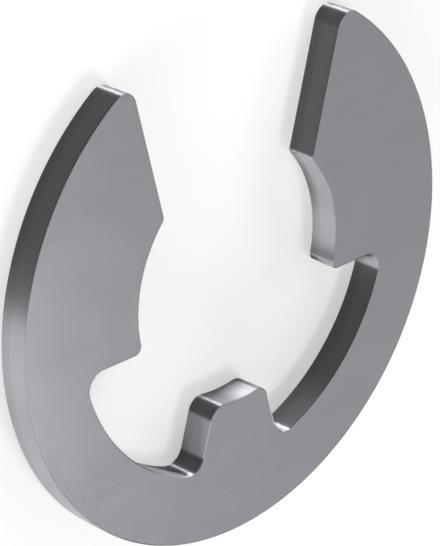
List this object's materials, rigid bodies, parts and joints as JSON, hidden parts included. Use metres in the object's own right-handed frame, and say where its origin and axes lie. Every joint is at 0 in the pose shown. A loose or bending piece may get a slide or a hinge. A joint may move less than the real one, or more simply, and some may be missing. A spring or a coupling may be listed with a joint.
{
  "type": "e clip",
  "caption": "Flat stamped spring-steel retaining clip, pushed sideways into a shaft groove: round back, two gripping arms, a middle prong and a flared mouth.",
  "frame": {"origin": "on the axis of the shaft that the clip holds, at the clip's underside", "axes": "+Z along the shaft, square to the flat plate; +Y from the shaft out through the mouth; +X to the right of the mouth"},
  "size_m": [0.0122, 0.0112, 0.0007],
  "materials": {
    "spring_steel": "satin, tumbled after stamping"
  },
  "bodies": {
    "root": {"e_clip": "spring_steel"}
  },
  "joints": []
}
